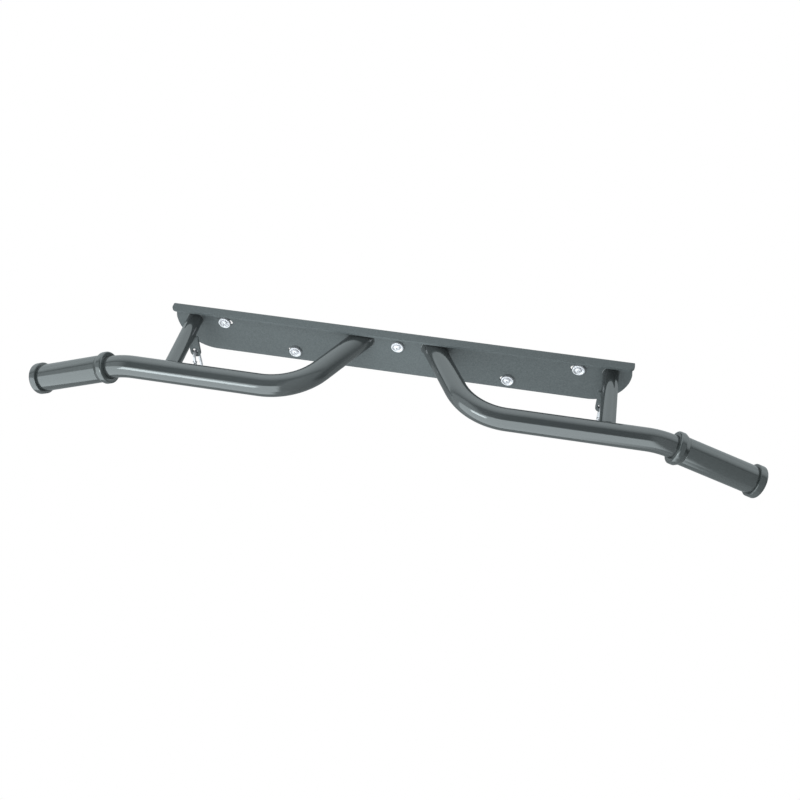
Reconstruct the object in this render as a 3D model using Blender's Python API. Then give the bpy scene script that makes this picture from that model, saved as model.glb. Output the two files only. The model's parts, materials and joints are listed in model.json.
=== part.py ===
"""Wall-mounted pull-up bar with two splayed, drooping arms and a snap hook under each post.

Units are metres. +X runs along the wall, +Y points into the wall, +Z is up.
The origin is the centre of the wall plate's back face.
"""

import math

import bmesh
import bpy
from mathutils import Matrix, Vector

# Clearance that welded, seated and running surfaces keep from each other
GAP = 0.0003
# How far a cutter reaches past the solid that it cuts
OVERSHOOT = 0.02

# Wall plate: a folded steel strip
PLATE_LENGTH = 0.8006
PLATE_HEIGHT = 0.0971
PLATE_THICKNESS = 0.004
PLATE_FOLD_RADIUS = 0.006
PLATE_LOWER_CORNER = 0.068
LIP_DEPTH = 0.0214
LIP_CORNER = 0.009

# Slots for the wall screws, measured from the plate's ends and from its top edge
SLOT_LENGTH = 0.019
SLOT_HEIGHT = 0.0125
OUTER_SLOT_INSET = 0.0938
OUTER_SLOT_DROP = 0.0297
INNER_SLOT_INSET = 0.2105
INNER_SLOT_DROP = 0.0770
CENTRE_SLOT_DROP = 0.0331
# How far each screw sits from its slot's middle
OUTER_SCREW_OUTWARD = 0.0047
INNER_SCREW_SHIFT = 0.0044

# Main tubes: from the plate outward, along the wall, then down
TUBE_DIAMETER = 0.038
TUBE_WALL = 0.0025
TUBE_AXIS_DROP = 0.0287
TUBE_ROOT_X = 0.0614
TUBE_SPLAY = math.radians(30.25)
TUBE_STAND_OFF = 0.1442
TUBE_SPLAY_BEND = 0.106
TUBE_DROOP = math.radians(20.85)
TUBE_DROOP_BEND = 0.116

# Posts between the plate and the back of the main tubes
POST_DIAMETER = 0.0267
POST_WALL = 0.002
POST_INSET = 0.0356
DROOP_PAST_POST = 0.0831

# Grips: lengths run along the tube's drooping end, from the droop bend's corner
COLLAR_START = 0.0236
COLLAR_RIM_LENGTH = 0.0098
COLLAR_TAPER_LENGTH = 0.0076
SLEEVE_LENGTH = 0.1238
CAP_LENGTH = 0.0133
CAP_FACE_THICKNESS = 0.005
CAP_SPIGOT_LENGTH = 0.008
CAP_SPIGOT_WALL = 0.002
RIM_DIAMETER = 0.0547
RIM_ROUNDING = 0.003
SLEEVE_DIAMETER = 0.0467

# Hook lugs: flat tabs welded under the posts
LUG_WIDTH = 0.0185
LUG_THICKNESS = 0.0049
LUG_INWARD = 0.0087
LUG_FROM_WALL = 0.0456
LUG_HOLE_DIAMETER = 0.0105
LUG_HOLE_DROP = 0.0365
LUG_ROUND_DROP = 0.0404
LUG_SHOULDER_DROP = 0.0037

# Wall screws and their dished washers
SHANK_DIAMETER = 0.008
SHANK_LENGTH = 0.025
SHANK_CHAMFER = 0.0012
HEAD_DIAMETER = 0.0132
HEAD_HEIGHT = 0.0031
HEAD_EDGE = 0.001
SOCKET_WIDTH = 0.0044
SOCKET_DEPTH = 0.0018
WASHER_DIAMETER = 0.0228
WASHER_HEIGHT = 0.0043
WASHER_FLOOR = 0.0022
WASHER_DISH_DIAMETER = 0.0148
WASHER_EDGE = 0.0026
WASHER_ROUNDING = 0.0004

# Snap hooks: centreline radii of the wire's two bends, and its height between them
WIRE_DIAMETER = 0.005
HOOK_TOP_BEND = 0.0105
HOOK_BOTTOM_BEND = 0.0125
HOOK_HEIGHT = 0.055
# Running clearance between the wire and the lower edge of the lug's hole
HOOK_CLEARANCE = 0.00045
HINGE_DROP = 0.0065
HINGE_TO_WIRE = 0.0039
TONGUE_THICKNESS = 0.002
TONGUE_WIDTH = 0.0038
TONGUE_BELOW_HINGE = 0.0022
GATE_DIAMETER = 0.0058
GATE_REACH = 0.023
GATE_ABOVE_HINGE = 0.002
GATE_SLOT_DEPTH = 0.0035
GATE_BORE_DIAMETER = 0.0032
GATE_BORE_DEPTH = 0.0125
NOSE_SLANT = math.radians(35)
PIN_DIAMETER = 0.0016
PIN_HEAD_DIAMETER = 0.0028
PIN_HEAD_THICKNESS = 0.0005
SPRING_WIRE = 0.0004
SPRING_TURNS = 6
SPRING_SETBACK = 0.0034

# Facets
TUBE_SIDES = 28
BORE_SIDES = 16
GRIP_SIDES = 32
POST_SIDES = 24
SMALL_SIDES = 16
WIRE_SIDES = 12
GATE_SIDES = 16
SPRING_POINTS_A_TURN = 8

# Places worked out from the insets and drops
PLATE_END = PLATE_LENGTH / 2
PLATE_TOP = PLATE_HEIGHT / 2
OUTER_SLOT_X = PLATE_END - OUTER_SLOT_INSET
INNER_SLOT_X = PLATE_END - INNER_SLOT_INSET
POST_X = PLATE_END - POST_INSET
TUBE_DROOP_X = POST_X + DROOP_PAST_POST
TUBE_Z = PLATE_TOP - TUBE_AXIS_DROP
TUBE_RADIUS = TUBE_DIAMETER / 2
POST_RADIUS = POST_DIAMETER / 2
RIM_RADIUS = RIM_DIAMETER / 2
SLEEVE_RADIUS = SLEEVE_DIAMETER / 2
LUG_HOLE_Z = TUBE_Z - LUG_HOLE_DROP
LUG_MIDDLE_Y = -(LUG_FROM_WALL + LUG_THICKNESS / 2)
WIRE_RADIUS = WIRE_DIAMETER / 2
GATE_RADIUS = GATE_DIAMETER / 2

SIDES = {"left": -1, "right": 1}


def finish(name, colour, roughness, metallic):
    """A plain painted, plastic or metal surface."""
    material = bpy.data.materials.new(name)
    material.use_nodes = True
    shader = material.node_tree.nodes["Principled BSDF"]
    shader.inputs["Base Color"].default_value = (*colour, 1)
    shader.inputs["Roughness"].default_value = roughness
    shader.inputs["Metallic"].default_value = metallic
    return material


def add(name, mesh, material, parent=None, place=None):
    """A named object, smooth where it is round."""
    thing = bpy.data.objects.new(name, mesh)
    bpy.context.scene.collection.objects.link(thing)
    mesh.materials.clear()
    mesh.materials.append(material)
    mesh.shade_smooth()
    mesh.set_sharp_from_angle(angle=math.radians(32))
    thing.parent = parent
    if place is not None:
        thing.matrix_basis = place
    return thing


def empty(name, place):
    """A bare axis that carries other objects."""
    axis = bpy.data.objects.new(name, None)
    bpy.context.scene.collection.objects.link(axis)
    axis.matrix_basis = place
    return axis


def mesh_from(build):
    """A mesh from a function that fills an empty bmesh, with its faces turned outward."""
    bm = bmesh.new()
    build(bm)
    bmesh.ops.remove_doubles(bm, verts=bm.verts, dist=1e-6)
    bmesh.ops.recalc_face_normals(bm, faces=bm.faces)
    mesh = bpy.data.meshes.new("shape")
    bm.to_mesh(mesh)
    bm.free()
    return mesh


def prism(outline, low, high, frame=None):
    """An outline in the XY plane, extruded from low to high along Z, then turned by frame."""
    frame = frame or Matrix()

    def build(bm):
        base = [bm.verts.new((x, y, low)) for x, y in outline]
        face = bm.faces.new(base)
        raised = bmesh.ops.extrude_face_region(bm, geom=[face])["geom"]
        verts = [part for part in raised if isinstance(part, bmesh.types.BMVert)]
        bmesh.ops.translate(bm, verts=verts, vec=(0, 0, high - low))
        bmesh.ops.transform(bm, matrix=frame, verts=bm.verts)

    return mesh_from(build)


def block(low, high):
    """A box between two corners."""
    outline = [(low[0], low[1]), (high[0], low[1]), (high[0], high[1]), (low[0], high[1])]
    return prism(outline, low[2], high[2])


def turned(profile, sides):
    """A profile of (radius, height) points turned round Z. It closes itself, or ends on the axis."""
    on_axis = profile[0][0] == 0

    def build(bm):
        verts = [bm.verts.new((radius, 0, height)) for radius, height in profile]
        pairs = list(zip(verts, verts[1:]))
        if not on_axis:
            pairs.append((verts[-1], verts[0]))
        edges = [bm.edges.new(pair) for pair in pairs]
        bmesh.ops.spin(
            bm, geom=verts + edges, axis=(0, 0, 1), cent=(0, 0, 0), angle=math.tau, steps=sides
        )

    return mesh_from(build)


def around(radius, sides):
    """The corner radius of a faceted hole whose flats lie at this radius."""
    return radius / math.cos(math.pi / sides)


def rod(radius, low, high, sides, frame=None):
    """A plain cylinder along Z, then turned by frame."""
    mesh = turned([(0, low), (radius, low), (radius, high), (0, high)], sides)
    mesh.transform(frame or Matrix())
    return mesh


def swept(points, radius, sides):
    """A round bar along a line of points, closed at both ends."""
    curve = bpy.data.curves.new("route", "CURVE")
    curve.dimensions = "3D"
    curve.bevel_depth = radius
    curve.bevel_resolution = (sides - 4) // 2
    curve.use_fill_caps = True
    spline = curve.splines.new("POLY")
    spline.points.add(len(points) - 1)
    for spot, point in zip(spline.points, points):
        spot.co = (*point, 1)
    route = bpy.data.objects.new("route", curve)
    bpy.context.scene.collection.objects.link(route)
    mesh = bpy.data.meshes.new_from_object(route)
    bpy.data.objects.remove(route)
    bm = bmesh.new()
    bm.from_mesh(mesh)
    bmesh.ops.remove_doubles(bm, verts=bm.verts, dist=1e-6)
    bmesh.ops.recalc_face_normals(bm, faces=bm.faces)
    bm.to_mesh(mesh)
    bm.free()
    return mesh


def combined(mesh, others, operation):
    """The mesh after Booleans with the other meshes, in order."""
    thing = bpy.data.objects.new("work", mesh)
    bpy.context.scene.collection.objects.link(thing)
    tools = []
    for other in others:
        tool = bpy.data.objects.new("tool", other)
        bpy.context.scene.collection.objects.link(tool)
        tools.append(tool)
        boolean = thing.modifiers.new("Boolean", "BOOLEAN")
        boolean.operation = operation
        boolean.solver = "EXACT"
        boolean.object = tool
    bpy.context.view_layer.update()
    depsgraph = bpy.context.evaluated_depsgraph_get()
    result = bpy.data.meshes.new_from_object(thing.evaluated_get(depsgraph))
    for used in [thing, *tools]:
        bpy.data.objects.remove(used)
    return result


def cut(mesh, *cutters):
    return combined(mesh, cutters, "DIFFERENCE")


def arc(centre, radius, start, end, steps):
    """Points on a circle in a plane, both ends included. Angles are in degrees."""
    points = []
    for step in range(steps + 1):
        angle = math.radians(start + (end - start) * step / steps)
        points.append((centre[0] + radius * math.cos(angle), centre[1] + radius * math.sin(angle)))
    return points


def bent_path(corners, radii, steps):
    """A line through corner points, with each inner corner rounded to its centreline radius."""
    points = [corners[0]]
    for before, corner, after, radius, count in zip(corners, corners[1:], corners[2:], radii, steps):
        arriving = (corner - before).normalized()
        leaving = (after - corner).normalized()
        turn = arriving.angle(leaving)
        inward = (leaving - arriving * arriving.dot(leaving)).normalized()
        centre = corner - arriving * radius * math.tan(turn / 2) + inward * radius
        for step in range(count + 1):
            angle = turn * step / count
            points.append(centre - inward * radius * math.cos(angle) + arriving * radius * math.sin(angle))
    points.append(corners[-1])
    return points


# Turns a shape drawn in XY and extruded along Z so that it is drawn in XZ and extruded along -Y
UPRIGHT = Matrix.Rotation(math.pi / 2, 4, "X")
# Turns a shape made round Z so that it points along +X
ALONG_X = Matrix.Rotation(math.pi / 2, 4, "Y")


def slots():
    """Each slot's name, centre along the plate, height, and the screw's place in it."""
    return [
        ("left_outer", -OUTER_SLOT_X, PLATE_TOP - OUTER_SLOT_DROP, -OUTER_SCREW_OUTWARD),
        ("left_inner", -INNER_SLOT_X, PLATE_TOP - INNER_SLOT_DROP, INNER_SCREW_SHIFT),
        ("centre", 0, PLATE_TOP - CENTRE_SLOT_DROP, 0),
        ("right_inner", INNER_SLOT_X, PLATE_TOP - INNER_SLOT_DROP, INNER_SCREW_SHIFT),
        ("right_outer", OUTER_SLOT_X, PLATE_TOP - OUTER_SLOT_DROP, OUTER_SCREW_OUTWARD),
    ]


def folded_strip():
    """The plate's section, a tall face with a lip forward along its top, run along X."""
    outer = PLATE_FOLD_RADIUS
    inner = PLATE_FOLD_RADIUS - PLATE_THICKNESS
    fold = (-outer, PLATE_TOP - outer)
    section = [
        (0, -PLATE_HEIGHT / 2),
        *arc(fold, outer, 0, 90, 5),
        (-LIP_DEPTH, PLATE_TOP),
        (-LIP_DEPTH, PLATE_TOP - PLATE_THICKNESS),
        *arc(fold, inner, 90, 0, 3),
        (-PLATE_THICKNESS, -PLATE_HEIGHT / 2),
    ]
    # Drawn in YZ: local x becomes Y, local y becomes Z, and the extrusion becomes X
    frame = Matrix(((0, 0, 1, 0), (1, 0, 0, 0), (0, 1, 0, 0), (0, 0, 0, 1)))
    return prism(section, -PLATE_END, PLATE_END, frame)


def plate_face_outline():
    """The plate seen from the front, with its two lower corners rounded."""
    half = PLATE_END
    bottom = -PLATE_HEIGHT / 2
    radius = PLATE_LOWER_CORNER
    return [
        (half, PLATE_TOP + OVERSHOOT),
        (-half, PLATE_TOP + OVERSHOOT),
        *arc((-half + radius, bottom + radius), radius, 180, 270, 10),
        *arc((half - radius, bottom + radius), radius, 270, 360, 10),
    ]


def plate_top_outline():
    """The plate seen from above, with the lip's two front corners rounded."""
    half = PLATE_END
    radius = LIP_CORNER
    return [
        (half, OVERSHOOT),
        (-half, OVERSHOOT),
        *arc((-half + radius, -LIP_DEPTH + radius), radius, 180, 270, 7),
        *arc((half - radius, -LIP_DEPTH + radius), radius, 270, 360, 7),
    ]


def slot_cutter(x, z):
    """A round-ended slot through the plate's face."""
    radius = SLOT_HEIGHT / 2
    reach = SLOT_LENGTH / 2 - radius
    outline = [
        *arc((x + reach, z), radius, -90, 90, 8),
        *arc((x - reach, z), radius, 90, 270, 8),
    ]
    return prism(outline, -OVERSHOOT, OVERSHOOT, UPRIGHT)


def wall_plate(paint):
    depth = LIP_DEPTH + OVERSHOOT
    face = prism(plate_face_outline(), -depth, depth, UPRIGHT)
    top = prism(plate_top_outline(), -PLATE_HEIGHT, PLATE_HEIGHT)
    mesh = combined(folded_strip(), [face, top], "INTERSECT")
    mesh = cut(mesh, *[slot_cutter(x, z) for _, x, z, _ in slots()])
    add("wall_plate", mesh, paint)


def wall_side_cutter(centre_x):
    """A block that trims a tube to the front face of the plate, less the weld gap."""
    half = 2 * TUBE_DIAMETER
    front = -(PLATE_THICKNESS + GAP)
    low = (centre_x - half, front, TUBE_Z - half)
    high = (centre_x + half, front + 2 * half, TUBE_Z + half)
    return block(low, high)


def droop_corner(sign):
    return Vector((sign * TUBE_DROOP_X, -TUBE_STAND_OFF, TUBE_Z))


def droop_direction(sign):
    return Vector((sign * math.cos(TUBE_DROOP), 0, -math.sin(TUBE_DROOP)))


def cap_start():
    return COLLAR_START + COLLAR_RIM_LENGTH + COLLAR_TAPER_LENGTH + SLEEVE_LENGTH + 2 * GAP


def tube_end():
    """Where the bare tube stops, inside the end cap."""
    return cap_start() + CAP_LENGTH - CAP_FACE_THICKNESS - GAP


def main_tube_route(sign, extra):
    """The main tube's centreline, with extra length at both ends."""
    splay = Vector((sign * math.sin(TUBE_SPLAY), -math.cos(TUBE_SPLAY), 0))
    root = Vector((sign * TUBE_ROOT_X, 0, TUBE_Z))
    corner = root + splay * TUBE_STAND_OFF / math.cos(TUBE_SPLAY)
    droop = droop_corner(sign)
    end = droop + droop_direction(sign) * (tube_end() + extra)
    behind = root - splay * (TUBE_RADIUS + extra)
    return bent_path([behind, corner, droop, end], [TUBE_SPLAY_BEND, TUBE_DROOP_BEND], [11, 5])


def main_tube(side, paint):
    sign = SIDES[side]
    bar = swept(main_tube_route(sign, 0), TUBE_RADIUS, TUBE_SIDES)
    bore_radius = around(TUBE_RADIUS - TUBE_WALL, BORE_SIDES)
    bore = swept(main_tube_route(sign, OVERSHOOT / 2), bore_radius, BORE_SIDES)
    mesh = cut(bar, bore, wall_side_cutter(sign * TUBE_ROOT_X))
    add("main_tube_" + side, mesh, paint)


def post(side, paint):
    """A short tube whose front end is shaped to the back of the main tube."""
    x = SIDES[side] * POST_X
    bore = POST_RADIUS - POST_WALL
    start = PLATE_THICKNESS + GAP
    profile = [(bore, start), (POST_RADIUS, start), (POST_RADIUS, TUBE_STAND_OFF), (bore, TUBE_STAND_OFF)]
    bar = turned(profile, POST_SIDES)
    bar.transform(Matrix.Translation((x, 0, TUBE_Z)) @ UPRIGHT)
    along = Matrix.Translation((x, -TUBE_STAND_OFF, TUBE_Z)) @ ALONG_X
    saddle_radius = around(TUBE_RADIUS + GAP, TUBE_SIDES)
    saddle = rod(saddle_radius, -POST_DIAMETER, POST_DIAMETER, TUBE_SIDES, along)
    add("post_" + side, cut(bar, saddle), paint)


def lug_x(sign):
    return sign * (POST_X - LUG_INWARD)


def hook_lug(side, paint):
    """A flat tab, round below, whose top fits round the lower side of the post."""
    x = lug_x(SIDES[side])
    half = LUG_WIDTH / 2
    top = TUBE_Z - LUG_SHOULDER_DROP
    outline = [
        (x + half, top),
        (x - half, top),
        *arc((x, TUBE_Z - LUG_ROUND_DROP), half, 180, 360, 14),
    ]
    tab = prism(outline, LUG_FROM_WALL, LUG_FROM_WALL + LUG_THICKNESS, UPRIGHT)
    reach = LUG_FROM_WALL + LUG_THICKNESS + OVERSHOOT
    hole_frame = Matrix.Translation((x, 0, LUG_HOLE_Z)) @ UPRIGHT
    hole = rod(around(LUG_HOLE_DIAMETER / 2, SMALL_SIDES), 0, reach, SMALL_SIDES, hole_frame)
    post_frame = Matrix.Translation((SIDES[side] * POST_X, 0, TUBE_Z)) @ UPRIGHT
    saddle = rod(around(POST_RADIUS + GAP, POST_SIDES), 0, reach, POST_SIDES, post_frame)
    add("hook_lug_" + side, cut(tab, hole, saddle), paint)


def rounded_rim(start, end, round_start, round_end):
    """Profile points over a rim, with a rounding at either edge."""
    points = []
    if round_start:
        corner = (RIM_RADIUS - RIM_ROUNDING, start + RIM_ROUNDING)
        points += arc(corner, RIM_ROUNDING, -90, 0, 3)
    else:
        points += [(RIM_RADIUS, start)]
    if round_end:
        corner = (RIM_RADIUS - RIM_ROUNDING, end - RIM_ROUNDING)
        points += arc(corner, RIM_ROUNDING, 0, 90, 3)
    else:
        points += [(RIM_RADIUS, end)]
    return points


def grip_collar(side, axis, rubber):
    """The inner flange: a rim towards the bend, tapering to the sleeve."""
    bore = around(TUBE_RADIUS + GAP, GRIP_SIDES)
    rim_end = COLLAR_START + COLLAR_RIM_LENGTH
    end = rim_end + COLLAR_TAPER_LENGTH
    profile = [
        (bore, COLLAR_START),
        *rounded_rim(COLLAR_START, rim_end, True, False),
        (SLEEVE_RADIUS, end),
        (bore, end),
    ]
    add("grip_collar_" + side, turned(profile, GRIP_SIDES), rubber, axis)


def grip_sleeve(side, axis, rubber):
    start = COLLAR_START + COLLAR_RIM_LENGTH + COLLAR_TAPER_LENGTH + GAP
    end = start + SLEEVE_LENGTH
    bore = around(TUBE_RADIUS + GAP, GRIP_SIDES)
    profile = [(bore, start), (SLEEVE_RADIUS, start), (SLEEVE_RADIUS, end), (bore, end)]
    add("grip_sleeve_" + side, turned(profile, GRIP_SIDES), rubber, axis)


def grip_end_cap(side, axis, rubber):
    """The outer flange: a cup over the tube's end, with a spigot inside the tube."""
    start = cap_start()
    end = start + CAP_LENGTH
    floor = end - CAP_FACE_THICKNESS
    spigot = TUBE_RADIUS - TUBE_WALL - GAP
    spigot_start = floor - CAP_SPIGOT_LENGTH
    hollow = spigot - CAP_SPIGOT_WALL
    bore = around(TUBE_RADIUS + GAP, GRIP_SIDES)
    profile = [
        (0, floor),
        (hollow, floor),
        (hollow, spigot_start),
        (spigot, spigot_start),
        (spigot, floor),
        (bore, floor),
        (bore, start),
        *rounded_rim(start, end, False, True),
        (0, end),
    ]
    add("grip_end_cap_" + side, turned(profile, GRIP_SIDES), rubber, axis)


def grip(side, rubber):
    sign = SIDES[side]
    turn = sign * (math.pi / 2 + TUBE_DROOP)
    place = Matrix.Translation(droop_corner(sign)) @ Matrix.Rotation(turn, 4, "Y")
    axis = empty("grip_axis_" + side, place)
    grip_collar(side, axis, rubber)
    grip_sleeve(side, axis, rubber)
    grip_end_cap(side, axis, rubber)


def cup_washer_shape():
    """A dished washer: a round rim with a flat floor for the screw's head."""
    hole = around(SHANK_DIAMETER / 2 + GAP, SMALL_SIDES)
    outer = WASHER_DIAMETER / 2
    dish = WASHER_DISH_DIAMETER / 2
    rim = (outer + dish) / 2
    top = GAP + WASHER_HEIGHT
    profile = [
        (hole, GAP),
        (outer, GAP),
        (outer, GAP + WASHER_EDGE),
        ((outer + rim) / 2, top - WASHER_ROUNDING),
        (rim, top),
        ((rim + dish) / 2, top - WASHER_ROUNDING),
        (dish, GAP + WASHER_FLOOR),
        (hole, GAP + WASHER_FLOOR),
    ]
    return turned(profile, SMALL_SIDES)


def screw_shape():
    """A round head with a six-sided socket, over a shank with a chamfered end."""
    seat = WASHER_FLOOR + 2 * GAP
    shank = SHANK_DIAMETER / 2
    head = HEAD_DIAMETER / 2
    top = seat + HEAD_HEIGHT
    dome = arc((0, 0), 1, 0, 90, 3)
    profile = [
        (0, seat - SHANK_LENGTH),
        (shank - SHANK_CHAMFER, seat - SHANK_LENGTH),
        (shank, seat - SHANK_LENGTH + SHANK_CHAMFER),
        (shank, seat),
        (head, seat),
        *[(head * x, seat + HEAD_EDGE + (HEAD_HEIGHT - HEAD_EDGE) * y) for x, y in dome[:-1]],
        (0, top),
    ]
    socket = rod(SOCKET_WIDTH / 2, top - SOCKET_DEPTH, top + OVERSHOOT, 6)
    return cut(turned(profile, SMALL_SIDES), socket)


def fixings(zinc):
    """A screw and a washer at each slot, on an axis that points out of the wall."""
    washer = cup_washer_shape()
    screw = screw_shape()
    for name, x, z, shift in slots():
        axis = empty("fixing_axis_" + name, Matrix.Translation((x + shift, -PLATE_THICKNESS, z)) @ UPRIGHT)
        add("cup_washer_" + name, washer, zinc, axis)
        add("screw_" + name, screw, zinc, axis)


def hook_lines():
    """The hook's bend centres and its side directions, in its own YZ plane below the swing axis."""
    upper = Vector((0, 0, -HOOK_TOP_BEND))
    lower = Vector((0, 0, HOOK_BOTTOM_BEND - HOOK_HEIGHT))
    flare = math.asin((HOOK_BOTTOM_BEND - HOOK_TOP_BEND) / (upper.z - lower.z))
    front = Vector((0, -math.cos(flare), math.sin(flare)))
    down = Vector((0, -math.sin(flare), -math.cos(flare)))
    return upper, lower, flare, front, down


def hinge_point():
    upper, _, _, front, down = hook_lines()
    return upper + front * HOOK_TOP_BEND + down * HINGE_DROP


def hook_route():
    """The wire from above the hinge, over the top, down the back and round to the nose."""
    upper, lower, flare, front, down = hook_lines()
    hinge = hinge_point()
    tilt = math.degrees(flare)
    points = [hinge - down * HINGE_TO_WIRE]
    for y, z in arc((0, 0), HOOK_TOP_BEND, 180 - tilt, tilt, 10):
        points.append(upper + Vector((0, y, z)))
    for y, z in arc((0, 0), HOOK_BOTTOM_BEND, tilt, -180 - tilt, 12):
        points.append(lower + Vector((0, y, z)))
    points.append(hinge + down * (GATE_REACH + GAP))
    return points


def slanted(mesh, centre, along, across):
    """Shears the end face at centre, so that it leans outward across the wire."""
    for vertex in mesh.vertices:
        offset = vertex.co - centre
        if abs(offset.dot(along)) < 1e-5:
            vertex.co += along * offset.dot(across) * math.tan(NOSE_SLANT)
    return mesh


def gate_frame():
    """The gate's own frame: its hinge, turned so that the gate hangs along the hook's front side."""
    _, _, flare, _, _ = hook_lines()
    return Matrix.Translation(hinge_point()) @ Matrix.Rotation(-flare, 4, "X")


def hinge_hole():
    radius = around(PIN_DIAMETER / 2 + GAP, WIRE_SIDES)
    return rod(radius, -GATE_DIAMETER, GATE_DIAMETER, WIRE_SIDES, ALONG_X)


def snap_hook_shape():
    """The bent wire with a flat tongue at the hinge and a slanted nose."""
    _, _, _, front, down = hook_lines()
    wire = swept(hook_route(), WIRE_RADIUS, WIRE_SIDES)
    nose = hinge_point() + down * (GATE_REACH + GAP)
    wire = slanted(wire, nose, down, -front)
    half = TONGUE_THICKNESS / 2
    width = TONGUE_WIDTH / 2
    tongue = block((-half, -width, -TONGUE_BELOW_HINGE), (half, width, HINGE_TO_WIRE + WIRE_RADIUS / 2))
    tongue = cut(tongue, hinge_hole())
    tongue.transform(gate_frame())
    return combined(wire, [tongue], "UNION")


def gate_shape():
    """A forked tube, closed at its free end, which slants to shut behind the nose."""
    bar = rod(GATE_RADIUS, -GATE_REACH, GATE_ABOVE_HINGE, GATE_SIDES)
    bar = slanted(bar, Vector((0, 0, -GATE_REACH)), Vector((0, 0, -1)), Vector((0, 1, 0)))
    half = TONGUE_THICKNESS / 2 + GAP
    fork = block((-half, -GATE_DIAMETER, -GATE_SLOT_DEPTH), (half, GATE_DIAMETER, GATE_DIAMETER))
    bore = rod(around(GATE_BORE_DIAMETER / 2, WIRE_SIDES), -GATE_BORE_DEPTH, 0, WIRE_SIDES)
    return cut(bar, fork, bore, hinge_hole())


def gate_pin_shape():
    """A rivet across the hinge, with a head outside each cheek."""
    shank = PIN_DIAMETER / 2
    head = PIN_HEAD_DIAMETER / 2
    inside = GATE_RADIUS + GAP
    outside = inside + PIN_HEAD_THICKNESS
    profile = [
        (0, -outside),
        (head, -outside),
        (head, -inside),
        (shank, -inside),
        (shank, inside),
        (head, inside),
        (head, outside),
        (0, outside),
    ]
    mesh = turned(profile, WIRE_SIDES)
    mesh.transform(ALONG_X)
    return mesh


def gate_spring_shape():
    """A small coil in the gate's bore."""
    radius = GATE_BORE_DIAMETER / 2 - GAP - SPRING_WIRE / 2
    top = -(SPRING_SETBACK + SPRING_WIRE / 2)
    bottom = -(GATE_BORE_DEPTH - GAP - SPRING_WIRE / 2)
    count = SPRING_POINTS_A_TURN * SPRING_TURNS
    points = []
    for step in range(count + 1):
        angle = math.tau * SPRING_TURNS * step / count
        height = top + (bottom - top) * step / count
        points.append(Vector((radius * math.cos(angle), radius * math.sin(angle), height)))
    return swept(points, SPRING_WIRE / 2, 6)


def swing_point(sign):
    """The hook's axis: the wire's middle where it rests on the lower edge of the lug's hole."""
    half = LUG_THICKNESS / 2
    sag = HOOK_TOP_BEND - math.sqrt(HOOK_TOP_BEND**2 - half**2)
    drop = LUG_HOLE_DIAMETER / 2 - WIRE_RADIUS - sag - HOOK_CLEARANCE
    return Vector((lug_x(sign), LUG_MIDDLE_Y, LUG_HOLE_Z - drop))


def hook(side, zinc, steel):
    """A snap hook, hanging through its lug."""
    swing = empty("swing_axis_" + side, Matrix.Translation(swing_point(SIDES[side])))
    add("snap_hook_" + side, snap_hook_shape(), zinc, swing)
    add("gate_pin_" + side, gate_pin_shape(), steel, swing, gate_frame())
    gate = add("gate_" + side, gate_shape(), zinc, swing, gate_frame())
    add("gate_spring_" + side, gate_spring_shape(), steel, gate)


def main():
    for thing in list(bpy.data.objects):
        bpy.data.objects.remove(thing)
    paint = finish("grey_paint", (0.098, 0.112, 0.112), 0.32, 0.0)
    rubber = finish("grip_rubber", (0.075, 0.088, 0.088), 0.3, 0.0)
    zinc = finish("zinc_plate", (0.72, 0.74, 0.76), 0.28, 1.0)
    steel = finish("bare_steel", (0.5, 0.5, 0.5), 0.3, 1.0)
    wall_plate(paint)
    for side in SIDES:
        main_tube(side, paint)
        post(side, paint)
        hook_lug(side, paint)
        grip(side, rubber)
        hook(side, zinc, steel)
    fixings(zinc)


main()
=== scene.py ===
import json
import math
import bmesh
import bpy
from mathutils import Matrix, Vector

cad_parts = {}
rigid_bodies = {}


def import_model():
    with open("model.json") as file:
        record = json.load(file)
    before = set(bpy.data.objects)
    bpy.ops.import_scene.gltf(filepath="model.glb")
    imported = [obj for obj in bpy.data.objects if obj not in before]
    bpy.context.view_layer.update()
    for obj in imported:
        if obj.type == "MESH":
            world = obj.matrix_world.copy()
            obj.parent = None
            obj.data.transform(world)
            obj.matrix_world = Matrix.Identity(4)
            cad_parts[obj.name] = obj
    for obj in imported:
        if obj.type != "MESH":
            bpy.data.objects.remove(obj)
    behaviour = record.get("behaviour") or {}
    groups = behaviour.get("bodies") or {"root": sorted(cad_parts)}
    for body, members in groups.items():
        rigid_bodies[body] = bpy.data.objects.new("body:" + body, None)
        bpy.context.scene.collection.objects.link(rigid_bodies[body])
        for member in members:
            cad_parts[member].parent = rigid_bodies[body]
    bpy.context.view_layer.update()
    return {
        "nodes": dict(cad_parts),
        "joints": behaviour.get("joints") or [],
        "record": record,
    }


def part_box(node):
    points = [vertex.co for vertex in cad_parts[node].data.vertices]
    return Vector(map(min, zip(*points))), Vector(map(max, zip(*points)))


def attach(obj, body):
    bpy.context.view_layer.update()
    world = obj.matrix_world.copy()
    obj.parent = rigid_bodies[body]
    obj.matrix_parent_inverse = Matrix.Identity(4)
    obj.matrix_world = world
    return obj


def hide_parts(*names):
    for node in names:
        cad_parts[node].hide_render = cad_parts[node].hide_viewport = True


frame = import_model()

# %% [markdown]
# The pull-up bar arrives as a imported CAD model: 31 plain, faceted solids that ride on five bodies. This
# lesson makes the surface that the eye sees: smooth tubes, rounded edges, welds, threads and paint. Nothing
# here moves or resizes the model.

SIDES = {"left": -1, "right": 1}
print("CAD nodes:", len(frame["nodes"]))

# %% [markdown]
# A product photograph is mostly a view and a room. The camera stands 25 cm to the right of the bar's middle,
# about a metre and a quarter out from the wall and nearly as far above the bar, and looks down at about 46
# degrees. Its place, turn and lens come from matching the plate's corners, the tubes and the washers.

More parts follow.
